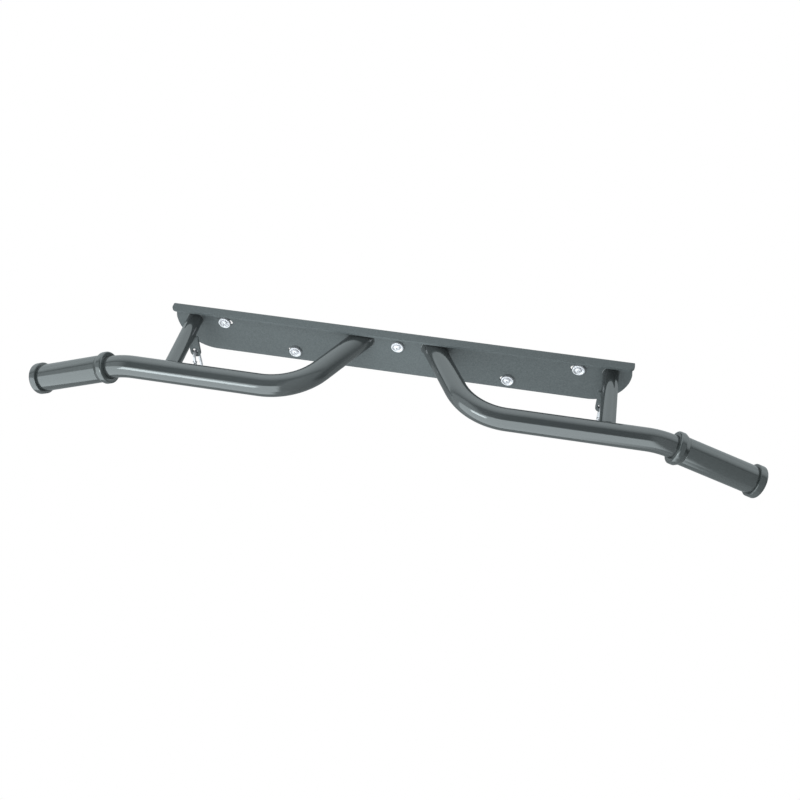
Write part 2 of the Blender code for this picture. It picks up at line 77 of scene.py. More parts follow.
# %% Camera
LENS_MM = 45.33
SENSOR_MM = 36.0
CAMERA_PLACE = (0.2490, -1.2578, 1.2033)
CAMERA_TILT = math.radians(44.057)
CAMERA_TURN = math.radians(11.052)
camera_data = bpy.data.cameras.new("camera")
camera_data.lens = LENS_MM
camera_data.sensor_width = SENSOR_MM
camera = bpy.data.objects.new("camera", camera_data)
camera.location = CAMERA_PLACE
camera.rotation_euler = (CAMERA_TILT, 0, CAMERA_TURN)
bpy.context.scene.collection.objects.link(camera)
bpy.context.scene.camera = camera
print("camera at", CAMERA_PLACE, "with a lens of", LENS_MM, "mm")

# %% [markdown]
# Every finish and the studio itself are built from shader nodes. One small function adds a node, sets its
# options and its plain values, and links what feeds it, so that each node takes one call.

# %% Add node
def add_node(tree, kind, values=None, links=None, **options):
    """Adds one node, sets its options and socket values, and links its inputs."""
    made = tree.nodes.new(kind)
    for name, value in options.items():
        setattr(made, name, value)
    for socket, value in (values or {}).items():
        made.inputs[socket].default_value = value
    for socket, source in (links or {}).items():
        tree.links.new(source, made.inputs[socket])
    return made

# %% [markdown]
# Glossy paint shows the room, so the room is drawn with care. The highlights on the tubes tell where its
# lights stand: a large soft panel in front, a dark ceiling over the camera, a pale ceiling behind the wall,
# and dim walls and floor. A world shader can hold all of them: it turns each direction into a brightness.
# Only reflections and soft light see it; the camera sees white paper. It needs two values of each
# direction: how far forward it points, away from the wall, and its angle up from straight ahead.

# %% Directions in the studio
world = bpy.data.worlds.new("studio")
bpy.context.scene.world = world
world.use_nodes = True
studio = world.node_tree
studio.nodes.clear()
facing = add_node(studio, "ShaderNodeTexCoord").outputs["Generated"]
axes = add_node(studio, "ShaderNodeSeparateXYZ", links={0: facing})
forward = add_node(studio, "ShaderNodeMath", {1: -1.0}, {0: axes.outputs["Y"]}, operation="MULTIPLY")
rise = add_node(
    studio, "ShaderNodeMath", links={0: axes.outputs["Z"], 1: forward.outputs[0]}, operation="ARCTAN2"
)
print("each direction gives:", forward.operation, "and", rise.operation)

# %% [markdown]
# Two colour ramps give the room itself. One runs round the X axis, from the floor behind the wall, over the
# front and the ceiling, and back. The other holds the dim side walls, from left to right, and its alpha says
# how far each wall covers the first. The walls stand in front of the bar only, so a third value takes their
# alpha away behind it.

# %% Room
def ramp(tree, source, lowest, highest, stops):
    """A colour ramp over a range of values. Each stop is a value, a grey level and an alpha."""
    place = add_node(tree, "ShaderNodeMapRange", {"From Min": lowest, "From Max": highest}, {"Value": source})
    colours = add_node(tree, "ShaderNodeValToRGB", links={0: place.outputs[0]})
    while len(colours.color_ramp.elements) < len(stops):
        colours.color_ramp.elements.new(0.5)
    for element, (value, level, alpha) in zip(colours.color_ramp.elements, stops):
        element.position = (value - lowest) / (highest - lowest)
        element.color = (level, level, level, alpha)
    return colours


# Degrees up from straight ahead, and the grey level there.
ROUND_THE_ROOM = [
    (-180, 0.95), (-158, 0.75), (-136, 0.38), (-118, 0.42), (-70, 0.55), (38, 0.6), (45, 0.08),
    (91, 0.1), (106, 0.7), (122, 1.1), (146, 1.25), (166, 1.0), (180, 0.95),
]
# How far the direction points to the right, the wall's grey level there and its alpha.
LEFT_TO_RIGHT = [
    (-0.62, 0.78, 1), (-0.46, 0.78, 0), (0.1, 0.46, 0), (0.3, 0.46, 1), (0.85, 0.4, 1), (0.97, 0.05, 1),
]
WALL_FADE = 0.05
room_stops = [(math.radians(turn), level, 1) for turn, level in ROUND_THE_ROOM]
room = ramp(studio, rise.outputs[0], -math.pi, math.pi, room_stops)
walls = ramp(studio, axes.outputs["X"], -1, 1, LEFT_TO_RIGHT)
in_front = add_node(
    studio, "ShaderNodeMapRange", {"From Min": -WALL_FADE, "From Max": WALL_FADE},
    {"Value": forward.outputs[0]},
)
cover = add_node(
    studio, "ShaderNodeMath", links={0: walls.outputs["Alpha"], 1: in_front.outputs[0]}, operation="MULTIPLY"
)
walled = add_node(
    studio, "ShaderNodeMix", data_type="RGBA",
    links={"Factor": cover.outputs[0], "A": room.outputs["Color"], "B": walls.outputs["Color"]},
)
print("room stops:", len(ROUND_THE_ROOM), "wall stops:", len(LEFT_TO_RIGHT))

# %% [markdown]
# A light panel in front of the bar is a rectangle on a flat plane. Dividing a direction by its forward part
# gives the spot where it meets that plane, one unit ahead, and a smooth step at each edge makes the panel's
# soft border. The first panel is the large light. The second is dim, and stands low at the right, over the
# first one's corner, where the highlights on the tubes fade out.

# %% Panels
NEARLY_ZERO = 0.000001  # keeps the division sound for directions that point back or sideways
ENDLESS = 10000  # a panel has no border in depth
ahead = add_node(studio, "ShaderNodeMath", {1: NEARLY_ZERO}, {0: forward.outputs[0]}, operation="MAXIMUM")
spot = add_node(studio, "ShaderNodeVectorMath", links={0: facing, 1: ahead.outputs[0]}, operation="DIVIDE")


def panel(room_before, left, right, low, high, soft, level):
    """Adds a soft-edged rectangle of light, as bright as the level, over the room."""
    middle = ((left + right) / 2, 0, (low + high) / 2)
    half = ((right - left) / 2, ENDLESS, (high - low) / 2)
    off = add_node(studio, "ShaderNodeVectorMath", {1: middle}, {0: spot.outputs[0]}, operation="SUBTRACT")
    away = add_node(studio, "ShaderNodeVectorMath", links={0: off.outputs[0]}, operation="ABSOLUTE")
    inside = add_node(
        studio, "ShaderNodeMapRange", data_type="FLOAT_VECTOR", interpolation_type="SMOOTHSTEP",
        values={7: [reach + soft for reach in half], 8: [reach - soft for reach in half]},
        links={6: away.outputs[0]},
    )
    sides = add_node(studio, "ShaderNodeSeparateXYZ", links={0: inside.outputs[1]})
    mask = add_node(
        studio, "ShaderNodeMath", links={0: sides.outputs[0], 1: sides.outputs[2]}, operation="MULTIPLY"
    )
    return add_node(
        studio, "ShaderNodeMix", {"B": (level, level, level, 1)}, data_type="RGBA",
        links={"Factor": mask.outputs[0], "A": room_before},
    ).outputs["Result"]


large_light = panel(
    walled.outputs["Result"], left=-3.0, right=0.27, low=-1.45, high=0.77, soft=0.08, level=2.15
)
lit = panel(large_light, left=0.12, right=0.6, low=-3.0, high=-0.45, soft=0.12, level=0.6)
print("studio so far:", len(studio.nodes), "nodes")

# %% [markdown]
# The studio's light is slightly blue green, as the photograph is. A Light Path node then tells who asks: the
# camera gets plain white paper, and everything else gets the room. The Standard view keeps the colours as
# they are worked out.

# %% Tint and paper
TINT = (0.87, 0.975, 1.0)
tinted = add_node(studio, "ShaderNodeVectorMath", {1: TINT}, {0: lit}, operation="MULTIPLY")
glow = add_node(studio, "ShaderNodeBackground", links={"Color": tinted.outputs[0]})
paper = add_node(studio, "ShaderNodeBackground", {"Color": (1, 1, 1, 1)})
path = add_node(studio, "ShaderNodeLightPath")
seen = add_node(
    studio, "ShaderNodeMixShader",
    links={0: path.outputs["Is Camera Ray"], 1: glow.outputs[0], 2: paper.outputs[0]},
)
add_node(studio, "ShaderNodeOutputWorld", links={"Surface": seen.outputs[0]})
bpy.context.scene.view_settings.view_transform = "Standard"
print("studio:", len(studio.nodes), "nodes")

# %% [markdown]
# Two lamps stand near the bar. A wide one above it gives soft light from the front and top, and soft shadows
# under the tubes; it is hidden from reflections. A small box at the left makes the short, bright highlights
# on the bends.

# %% Lamps
def lamp(name, place, aim, width, height, watts, **visibility):
    """A rectangular area lamp that faces a point."""
    bpy.ops.object.light_add(type="AREA", location=place)
    light = bpy.context.object
    light.name = name
    light.rotation_euler = (Vector(aim) - Vector(place)).to_track_quat("-Z", "Y").to_euler()
    light.data.shape = "RECTANGLE"
    light.data.size = width
    light.data.size_y = height
    light.data.energy = watts
    light.data.color = TINT
    light.visible_camera = False
    for ray, seen_by in visibility.items():
        setattr(light, ray, seen_by)
    print(name, "at", place)


lamp("overhead_lamp", place=(-0.15, -0.34, 0.5), aim=(-0.05, -0.05, 0), width=0.5, height=0.35, watts=2.6,
     visible_glossy=False)
lamp("small_box", place=(-0.8, -1.25, 0.41), aim=(0, -0.1, 0), width=0.62, height=0.38, watts=2.8)

# %% [markdown]
# The floor is a white sheet far below. It glows evenly, so no edge shows against the paper background, and
# it stays out of the reflections, which the studio world already holds.

# %% Floor
FLOOR_SIZE = 40
FLOOR_Z = -2.2
bpy.ops.object.select_all(action="DESELECT")
bpy.ops.mesh.primitive_plane_add(size=FLOOR_SIZE, location=(0, 0, FLOOR_Z))
floor = bpy.context.object
floor.name = "floor"
floor.visible_glossy = False
floor.visible_diffuse = False
white = bpy.data.materials.new("white_sheet")
white.use_nodes = True
sheet = white.node_tree.nodes["Principled BSDF"]
sheet.inputs["Base Color"].default_value = (0, 0, 0, 1)
sheet.inputs["Specular IOR Level"].default_value = 0
sheet.inputs["Emission Color"].default_value = (1, 1, 1, 1)
sheet.inputs["Emission Strength"].default_value = 1
floor.data.materials.append(white)
print("floor", FLOOR_SIZE, "m wide, at height", FLOOR_Z)

# %% [markdown]
# Each finish starts from what the real one is made of. Its colours are written as hex values, as a colour
# picker shows them. A shader works with linear light, so one function turns them over. Its patterns are
# worked out from real sizes in millimetres: a noise with one wave a millimetre has a scale of 1000.

# %% Colours and pattern sizes
def from_hex(code):
    """Turns an sRGB hex colour into the linear colour that a shader takes."""
    parts = [int(code[place:place + 2], 16) / 255 for place in (0, 2, 4)]
    return (*[part / 12.92 if part <= 0.04045 else ((part + 0.055) / 1.055) ** 2.4 for part in parts], 1)


def waves(millimetres):
    """The noise scale whose waves are this many millimetres long."""
    return 1000 / millimetres


print("a 2 mm wave has scale", waves(2), "and 444646 is", [round(part, 3) for part in from_hex("444646")])

# %% [markdown]
# No real surface is even. In each finish one pattern picks between two near colours and another between two
# degrees of roughness, and a bump raises the skin where it isn't flat. A use without a pattern of its own
# follows the colour's. All patterns lie on the object's own coordinates, so they stay put when a piece moves.

# %% Building a finish
def finish(name, metallic, ior, colours, roughness, patterns, bump=None, spread=(0, 1), kind="TexNoise"):
    """A material. Over its spread, the colour's pattern goes from the first colour to the second."""
    material = bpy.data.materials.new(name)
    material.use_nodes = True
    tree = material.node_tree
    shader = tree.nodes["Principled BSDF"]
    shader.inputs["Metallic"].default_value = metallic
    shader.inputs["IOR"].default_value = ior
    place = add_node(tree, "ShaderNodeTexCoord").outputs["Object"]
    laid = {}
    for use, values in patterns.items():
        laid[use] = add_node(tree, "ShaderNode" + kind, values, {"Vector": place}).outputs["Fac"]
    share = add_node(
        tree, "ShaderNodeMapRange", {"From Min": spread[0], "From Max": spread[1]}, {"Value": laid["colour"]}
    )
    colour = add_node(
        tree, "ShaderNodeMix", {"A": from_hex(colours[0]), "B": from_hex(colours[1])},
        {"Factor": share.outputs[0]}, data_type="RGBA",
    )
    rough = add_node(
        tree, "ShaderNodeMapRange", {"To Min": roughness[0], "To Max": roughness[1]},
        {"Value": laid.get("roughness", laid["colour"])},
    )
    tree.links.new(colour.outputs["Result"], shader.inputs["Base Color"])
    tree.links.new(rough.outputs[0], shader.inputs["Roughness"])
    if bump:
        skin = add_node(tree, "ShaderNodeBump", bump, {"Height": laid.get("bump", laid["colour"])})
        tree.links.new(skin.outputs[0], shader.inputs["Normal"])
    print(name, len(tree.nodes), "nodes")
    return material


# %% [markdown]
# The tubes are powder coated: grey polyester powder, baked until it flows into a glossy skin. The eye sees
# sharp reflections over a dark grey, and up close the skin is slightly wavy, which painters call orange
# peel. Its waves are 2 to 4 mm long, and the bump gives them. The pigment varies over 1.5 mm, and the gloss
# wanders a little over 40 mm. This paint reflects more than a typical 1.5 IOR gives, so its IOR is matched to
# the photograph.

# %% Gloss powder coat
GLOSS_PAINT = finish(
    "gloss_powder_coat", metallic=0, ior=2.0, colours=("3A3C3D", "434545"), roughness=(0.07, 0.14),
    bump={"Strength": 0.25, "Distance": 0.0001},
    patterns={
        "colour": {"Scale": waves(1.5), "Detail": 2},
        "roughness": {"Scale": waves(40), "Detail": 2},
        "bump": {"Scale": waves(3), "Detail": 1},
    },
)

# %% [markdown]
# The wall plate and the hook lugs have a textured powder coat, which hides scratches and fingerprints: the
# powder sets before it flows out, so a fine grain stays. The eye sees a satin surface with small specks. The
# real grain is about 0.5 mm, finer than one pixel, so it is drawn 1.6 mm coarse to show.

# %% Grained powder coat
GRAIN_PAINT = finish(
    "grained_powder_coat", metallic=0, ior=1.48, colours=("45494A", "5D6162"), roughness=(0.38, 0.56),
    bump={"Strength": 0.3, "Distance": 0.0002}, spread=(0.3, 0.7),
    patterns={"colour": {"Scale": waves(1.6), "Detail": 3, "Roughness": 0.6}},
)

# %% [markdown]
# The grips are moulded in a soft grey vinyl against a polished mould. The eye sees gloss nearly as sharp as
# the paint's, over slow, shallow sink marks where the thick wall cooled, about 12 mm long, and faint clouds
# of 6 mm in the colour. Its IOR is matched to the photograph, like the paint's.

# %% Moulded vinyl
GRIP_VINYL = finish(
    "moulded_vinyl", metallic=0, ior=2.0, colours=("3A3D3D", "444747"), roughness=(0.08, 0.17),
    bump={"Strength": 0.15, "Distance": 0.0003},
    patterns={"colour": {"Scale": waves(6), "Detail": 3}, "bump": {"Scale": waves(12), "Detail": 0}},
)

# %% [markdown]
# Screws, washers and snap hooks are steel with bright zinc plate, laid on in a bath. The eye sees a pale,
# soft shine without sharp reflections, because the plate is a skin of fine crystals, and handling leaves
# patches of 2 mm or so that are duller than the rest. The studio's light is slightly blue green, so the hex
# values lean a little to violet, and the metal comes out nearly white.

# %% Bright zinc plate
METAL_IOR = 1.5
BRIGHT_ZINC = finish(
    "bright_zinc_plate", metallic=1, ior=METAL_IOR, colours=("E8E5E8", "F2EFF2"), roughness=(0.52, 0.6),
    patterns={"colour": {"Scale": waves(2), "Detail": 3}},
)

# %% [markdown]
# The gates' rivets and springs are bare spring steel, drawn through a die, which leaves fine lines. The eye
# sees a warm grey shine with faint streaks. The lines are 0.05 mm apart, too fine to show, so they are drawn
# 0.4 mm wide, with gaps as wide. A wave texture of scale 1 repeats every tau / 20 metres, and this scale
# brings that down to 0.8 mm.

# %% Drawn spring steel
SPRING_STEEL = finish(
    "drawn_spring_steel", metallic=1, ior=METAL_IOR, colours=("A9A8A5", "CBCAC6"), roughness=(0.2, 0.32),
    kind="TexWave", patterns={"colour": {"Scale": waves(0.4) / math.tau, "Distortion": 2}},
)

# %% [markdown]
# All pieces are modelled the same way: a primitive is added where the piece belongs, shaped in edit mode,
# and finished with modifiers. These few helpers keep the selection clean, because each operator acts on
# whatever is selected.

# %% Selection
def start():
    """Leaves nothing selected and no edit mode open."""
    if bpy.context.object and bpy.context.object.mode != "OBJECT":
        bpy.ops.object.mode_set(mode="OBJECT")
    bpy.ops.object.select_all(action="DESELECT")


def edit():
    """Opens the piece for editing."""
    bpy.ops.object.mode_set(mode="EDIT")
    bpy.ops.mesh.select_mode(type="VERT")


def leave():
    """Closes edit mode and gives back the piece."""
    bpy.ops.object.mode_set(mode="OBJECT")
    return bpy.context.object


def pick(kind, test):
    """In edit mode, selects only the verts, edges or faces whose middle passes the test, in world space."""
    bpy.ops.mesh.select_mode(type={"verts": "VERT", "edges": "EDGE", "faces": "FACE"}[kind])
    bpy.ops.mesh.select_all(action="DESELECT")
    thing = bpy.context.object
    shape = bmesh.from_edit_mesh(thing.data)
    for element in getattr(shape, kind):
        corners = [element.co] if kind == "verts" else [vertex.co for vertex in element.verts]
        middle = thing.matrix_world @ (sum(corners, Vector()) / len(corners))
        element.select_set(test(middle))
    shape.select_flush_mode()
    bmesh.update_edit_mesh(thing.data)


# %% [markdown]
# A modifier does in one step what takes many by hand, and it is applied at once, so that the next step works
# on its result. A Boolean takes one shape out of another as a drill or a punch does, or joins the two, and
# Bevel breaks the sharp edges, which catch the light on every real piece.

# %% Modifiers and booleans
EDGE_ANGLE = math.radians(35)


def apply_modifier(piece, kind, **settings):
    """Adds one modifier with its settings and applies it."""
    bpy.context.view_layer.objects.active = piece
    modifier = piece.modifiers.new(kind, kind)
    for name, value in settings.items():
        setattr(modifier, name, value)
    bpy.ops.object.modifier_apply(modifier=modifier.name)


def combine(piece, other, operation="DIFFERENCE"):
    """Takes the other shape out of the piece, or joins it on by UNION, and removes it from the scene."""
    apply_modifier(piece, "BOOLEAN", object=other, operation=operation, solver="EXACT")
    bpy.data.objects.remove(other)


def soften(piece, width):
    """Rounds every sharp edge."""
    apply_modifier(piece, "BEVEL", width=width, segments=2, limit_method="ANGLE", angle_limit=EDGE_ANGLE)


# %% [markdown]
# Every piece ends the same way. Its loose corners are merged and its faces turned outward. Its place goes
# into its mesh, so that the object sits at the origin, where patterns and joints expect it. Then it is
# shaded smooth except at its edges, painted, and told which body it rides on and which solid it replaces.

# %% Finishing a piece
MERGE = 1e-6
SMOOTH_ANGLE = math.radians(30)


def close_up(merge=MERGE):
    """In edit mode, merges doubles and turns all faces outward."""
    bpy.ops.mesh.select_all(action="SELECT")
    bpy.ops.mesh.remove_doubles(threshold=merge)
    bpy.ops.mesh.normals_make_consistent(inside=False)


def fill_and_leave():
    """Fills a piece's open ends, closes it up and leaves edit mode."""
    bpy.ops.mesh.select_all(action="SELECT")
    bpy.ops.mesh.fill_holes(sides=0)
    close_up()
    return leave()


def settle(piece, name):
    """Names the piece and puts its place and turn into its mesh."""
    start()
    piece.select_set(True)
    bpy.context.view_layer.objects.active = piece
    bpy.ops.object.transform_apply(location=True, rotation=True, scale=True)
    piece.name = name
    piece.data.name = name


def dress(piece, name, body, material, nodes):
    """Settles the piece, smooths its round faces, paints it and says what it rides on and replaces."""
    settle(piece, name)
    bpy.ops.object.shade_smooth_by_angle(angle=SMOOTH_ANGLE)
    piece.data.materials.clear()
    piece.data.materials.append(material)
    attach(piece, body)
    if nodes:
        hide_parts(*nodes)
    print(name, len(piece.data.polygons), "faces")


# %% [markdown]
# The main tubes leave the plate at a splay, bend until they run along the wall, and bend down into the
# grips. The places come from the model's own boxes. The radii and angles are those of its source, and a
# seam of 0.3 mm parts any two solids that touch.

# %% Sizes of the main tubes
TUBE_RADIUS = 0.019
TUBE_WALL = 0.0025
ROOT_X = 0.0614  # where the tube's axis meets the wall
SPLAY = math.radians(30.25)  # from straight out
SPLAY_BEND = 0.106
DROOP = math.radians(20.85)  # from level
DROOP_BEND = 0.116
DROOP_PAST_POST = 0.0831
TUBE_LOW, TUBE_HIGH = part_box("main_tube_right")
POST_LOW, POST_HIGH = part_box("post_right")
PLATE_LOW, PLATE_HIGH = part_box("wall_plate")
STAND_OFF = -TUBE_LOW.y - TUBE_RADIUS
TUBE_Z = TUBE_HIGH.z - TUBE_RADIUS
POST_X = (POST_LOW.x + POST_HIGH.x) / 2
DROOP_X = POST_X + DROOP_PAST_POST
PLATE_THICKNESS = 0.004
PLATE_FRONT = -PLATE_THICKNESS
SEAM = 0.0003
CAP_FLOOR = 0.1737  # where the tube's end meets the grip's cap, along the grip's axis
TUBE_END = CAP_FLOOR - SEAM
print("stand-off", round(STAND_OFF, 4), "tube height", round(TUBE_Z, 4), "posts at", round(POST_X, 4))

# %% [markdown]
# A bent tube is its own recipe: a circle is pulled along each straight run, and spun round each bend's
# centre, as a bender's mandrel does it. Three helpers say just that, and the wires of the hooks use them
# again.

# %% Pulling and bending
OUT = Vector((0, -1, 0))  # away from the wall
UP = Vector((0, 0, 1))
ACROSS = Vector((1, 0, 0))


def open_circle(radius, place, direction, sides):
    """An empty circle that faces along a direction, in edit mode."""
    start()
    facing_turn = direction.to_track_quat("Z", "Y").to_euler()
    bpy.ops.mesh.primitive_circle_add(vertices=sides, radius=radius, location=place, rotation=facing_turn)
    edit()
    bpy.ops.mesh.select_all(action="SELECT")


def straight(way):
    """Pulls the open end along a straight run."""
    bpy.ops.mesh.extrude_region_move(TRANSFORM_OT_translate={"value": way})


def bend(centre, axis, angle, steps):
    """Spins the open end round a bend's centre. Spin turns clockwise, so the angle is negated."""
    bpy.ops.mesh.spin(steps=steps, angle=-angle, center=centre, axis=axis)


# %% [markdown]
# Blocks and rods are the two plain shapes that the rest needs, as a start or as the cutter of a Boolean.

# %% Plain shapes
def block(low, high):
    """A plain block between two corners."""
    start()
    size = Vector(high) - Vector(low)
    bpy.ops.mesh.primitive_cube_add(size=1, location=(Vector(high) + Vector(low)) / 2, scale=size)
    bpy.ops.object.transform_apply(location=True, rotation=True, scale=True)
    return bpy.context.object


def solid_rod(radius, middle, direction, length, sides):
    """A plain rod round a middle point."""
    start()
    facing_turn = direction.to_track_quat("Z", "Y").to_euler()
    bpy.ops.mesh.primitive_cylinder_add(
        vertices=sides, radius=radius, depth=length, location=middle, rotation=facing_turn
    )
    return bpy.context.object


# %% [markdown]
# Each main tube starts behind the plate's front, because its splayed end has to be cut level with the plate.
# Solidify gives the wall its thickness, inward. The cut comes after it, because the rim that Solidify makes
# stands square to the tube and would reach into the plate.

# %% Main tubes
TUBE_SIDES = 72
SPLAY_STEPS = 24
DROOP_STEPS = 10
TRIM_WIDE = 0.2
TRIM_DEEP = 0.1


def droop_corner(sign):
    """Where the tube's level line and its grip's line would cross."""
    return Vector((sign * DROOP_X, -STAND_OFF, TUBE_Z))


def main_tube(side, sign):
    out = Vector((sign * math.sin(SPLAY), -math.cos(SPLAY), 0))
    along = Vector((sign, 0, 0))
    down_grip = Vector((sign * math.cos(DROOP), 0, -math.sin(DROOP)))
    root = Vector((sign * ROOT_X, 0, TUBE_Z))
    behind = root - out * TUBE_RADIUS
    corner = root + out * STAND_OFF / math.cos(SPLAY)
    splay_turn = math.pi / 2 - SPLAY
    splay_reach = SPLAY_BEND * math.tan(splay_turn / 2)
    splay_end = corner + along * splay_reach
    droop_reach = DROOP_BEND * math.tan(DROOP / 2)
    droop_start = droop_corner(sign) - along * droop_reach
    open_circle(TUBE_RADIUS, behind, out, TUBE_SIDES)
    straight(corner - out * splay_reach - behind)
    bend(splay_end + Vector((0, SPLAY_BEND, 0)), UP, sign * splay_turn, SPLAY_STEPS)
    straight(droop_start - splay_end)
    bend(droop_start - Vector((0, 0, DROOP_BEND)), (0, 1, 0), sign * DROOP, DROOP_STEPS)
    straight(down_grip * (TUBE_END - droop_reach))
    close_up()
    tube = leave()
    apply_modifier(tube, "SOLIDIFY", thickness=TUBE_WALL, offset=-1, use_even_offset=True)
    combine(tube, block((-TRIM_WIDE, PLATE_FRONT - SEAM, -TRIM_DEEP), (TRIM_WIDE, TRIM_DEEP, TRIM_DEEP)))
    dress(tube, side + "_main_tube", "frame", GLOSS_PAINT, ["main_tube_" + side])


for side, sign in SIDES.items():
    main_tube(side, sign)

# %% [markdown]
# The posts are short lengths of thinner tube. Their front ends are coped, cut to a saddle that fits the back
# of the main tube, as a tube notcher cuts them.

# %% Posts
POST_RADIUS = (POST_HIGH.x - POST_LOW.x) / 2
POST_WALL = 0.002
POST_SIDES = 56


def post(side, sign):
    open_circle(POST_RADIUS, Vector((sign * POST_X, PLATE_FRONT - SEAM, TUBE_Z)), OUT, POST_SIDES)
    straight(OUT * (STAND_OFF + PLATE_FRONT))
    close_up()
    tube = leave()
    apply_modifier(tube, "SOLIDIFY", thickness=POST_WALL, offset=-1, use_even_offset=True)
    saddle_middle = Vector((sign * POST_X, -STAND_OFF, TUBE_Z))
    combine(tube, solid_rod(TUBE_RADIUS + SEAM, saddle_middle, ACROSS, 4 * POST_RADIUS, TUBE_SIDES))
    dress(tube, side + "_post", "frame", GLOSS_PAINT, ["post_" + side])


for side, sign in SIDES.items():
    post(side, sign)

# %% [markdown]
# A slot is a hole with room to slide, so each screw can be set sideways before it is tightened. A punch for
# it is a rod whose right half is pulled sideways. The screws sit a little off the middles of their slots.

# %% Slots
NEAR = 1e-4  # how close a corner or an edge has to be, to be the one that is meant
SLOT_LENGTH = 0.019
SLOT_HEIGHT = 0.0125
PUNCH_LENGTH = 0.04
# Each slot's middle along the plate, and how far its screw sits off that middle.
SLOTS = {"left_outer": (-0.3065, -0.0047), "left_inner": (-0.1898, 0.0044), "centre": (0, 0),
         "right_inner": (0.1898, 0.0044), "right_outer": (0.3065, 0.0047)}


def slot_height(name):
    low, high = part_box("cup_washer_" + name)
    return (low.z + high.z) / 2


def slot_punch(x, z):
    reach = SLOT_LENGTH - SLOT_HEIGHT
    rod = solid_rod(SLOT_HEIGHT / 2, Vector((x - reach / 2, 0, z)), OUT, PUNCH_LENGTH, 48)
    edit()
    pick("verts", lambda spot: spot.x > x - reach / 2 + NEAR / 10)
    bpy.ops.transform.translate(value=(reach, 0, 0))
    leave()
    return rod


print("slot heights:", {name: round(slot_height(name), 5) for name in SLOTS})

# %% [markdown]
# The wall plate is one strip of 4 mm steel, with its top edge folded forward into a lip. A folded sheet is
# quickest as a sheet: a plane for the back, its top edge pulled forward, the fold and the corners bevelled
# round, and Solidify for the thickness. The photograph shows the lip's tips rounded at the back as well as at
# the front, so both ends of the fold are drawn in, a little more with each step round it. The slots are
# punched afterwards.

# %% Wall plate
FOLD_RADIUS = 0.006
FOLD_STEPS = 10
FOLD_DRAWN_IN = 0.003
LOWER_CORNER = 0.068
LIP_CORNER = 0.009
PLATE_EDGE = 0.0005


def draw_in_fold(end):
    """Moves the verts at both ends of the fold inward, more and more from the plate's face to the lip."""
    for step in range(1, FOLD_STEPS + 1):
        turn = math.radians(90 / FOLD_STEPS * step)
        depth = FOLD_RADIUS * (math.sin(turn) - 1)
        height = PLATE_HIGH.z - FOLD_RADIUS * (1 - math.cos(turn))
        for sign in SIDES.values():
            corner = Vector((sign * end, depth, height))
            pick("verts", lambda spot: (spot - corner).length < 2 * NEAR)
            bpy.ops.transform.translate(value=(-sign * FOLD_DRAWN_IN * (1 - math.cos(turn)), 0, 0))


def wall_plate():
    end = PLATE_HIGH.x
    start()
    bpy.ops.mesh.primitive_plane_add(size=1, location=(0, 0, 0), rotation=(math.pi / 2, 0, 0))
    edit()
    bpy.ops.transform.resize(value=(2 * end, 1, PLATE_HIGH.z - PLATE_LOW.z))
    pick("edges", lambda spot: spot.z > PLATE_HIGH.z - NEAR)
    straight(Vector((0, PLATE_LOW.y, 0)))
    pick("verts", lambda spot: spot.z < PLATE_LOW.z + NEAR)
    bpy.ops.mesh.bevel(offset=LOWER_CORNER, segments=40, affect="VERTICES")
    pick("verts", lambda spot: spot.y < PLATE_LOW.y + NEAR)
    bpy.ops.mesh.bevel(offset=LIP_CORNER, segments=12, affect="VERTICES")
    pick("edges", lambda spot: abs(spot.y) < NEAR and abs(spot.z - PLATE_HIGH.z) < NEAR)
    bpy.ops.mesh.bevel(offset=FOLD_RADIUS, segments=FOLD_STEPS, affect="EDGES")
    draw_in_fold(end)
    close_up()
    plate = leave()
    back = max(plate.data.polygons, key=lambda face: face.area)
    toward_room = -1 if back.normal.y > 0 else 1
    apply_modifier(plate, "SOLIDIFY", thickness=PLATE_THICKNESS, offset=toward_room, use_even_offset=True)
    for name, (x, _) in SLOTS.items():
        combine(plate, slot_punch(x, slot_height(name)))
    soften(plate, PLATE_EDGE)
    dress(plate, "folded_wall_plate", "frame", GRAIN_PAINT, ["wall_plate"])
    apply_modifier(plate, "WEIGHTED_NORMAL", keep_sharp=True)


wall_plate()

# %% [markdown]
# Turned and moulded round pieces are half a section spun round an axis. The section is drawn point by point
# from one vertex, its corners are rounded with a vertex bevel, and Spin sweeps it. The piece is made upright
# at the origin, and then turned and moved to its place.

# %% Turning a section
CORNER_STEPS = 6


def turned(section, steps):
    """Spins a half section of (radius, height, rounding) points round Z. Points on the axis close it."""
    start()
    bpy.ops.mesh.primitive_plane_add(size=0.01)
    edit()
    bpy.ops.mesh.merge(type="CENTER")
    spots = [Vector((radius, 0, height)) for radius, height, _ in section]
    bpy.ops.transform.translate(value=spots[0])
    for before, after in zip(spots, spots[1:]):
        straight(after - before)
    if section[0][0] > 0:
        pick("verts", lambda spot: min((spot - spots[0]).length, (spot - spots[-1]).length) < MERGE)
        bpy.ops.mesh.edge_face_add()
    for corner, (_, _, rounding) in zip(spots, section):
        if rounding:
            pick("verts", lambda spot: (spot - corner).length < MERGE)
            bpy.ops.mesh.bevel(offset=rounding, segments=CORNER_STEPS, affect="VERTICES")
    bpy.ops.mesh.select_all(action="SELECT")
    bpy.ops.mesh.spin(steps=steps, angle=math.tau, center=(0, 0, 0), axis=UP)
    close_up()
    return leave()


# %% [markdown]
# A grip is three mouldings pushed onto the tube: a collar with a tapered shoulder, the sleeve that the hand
# holds, and a cap that closes the end, with a shallow dish in its face. Their heights are measured along
# the grip's axis, from the corner where the tube turns down.

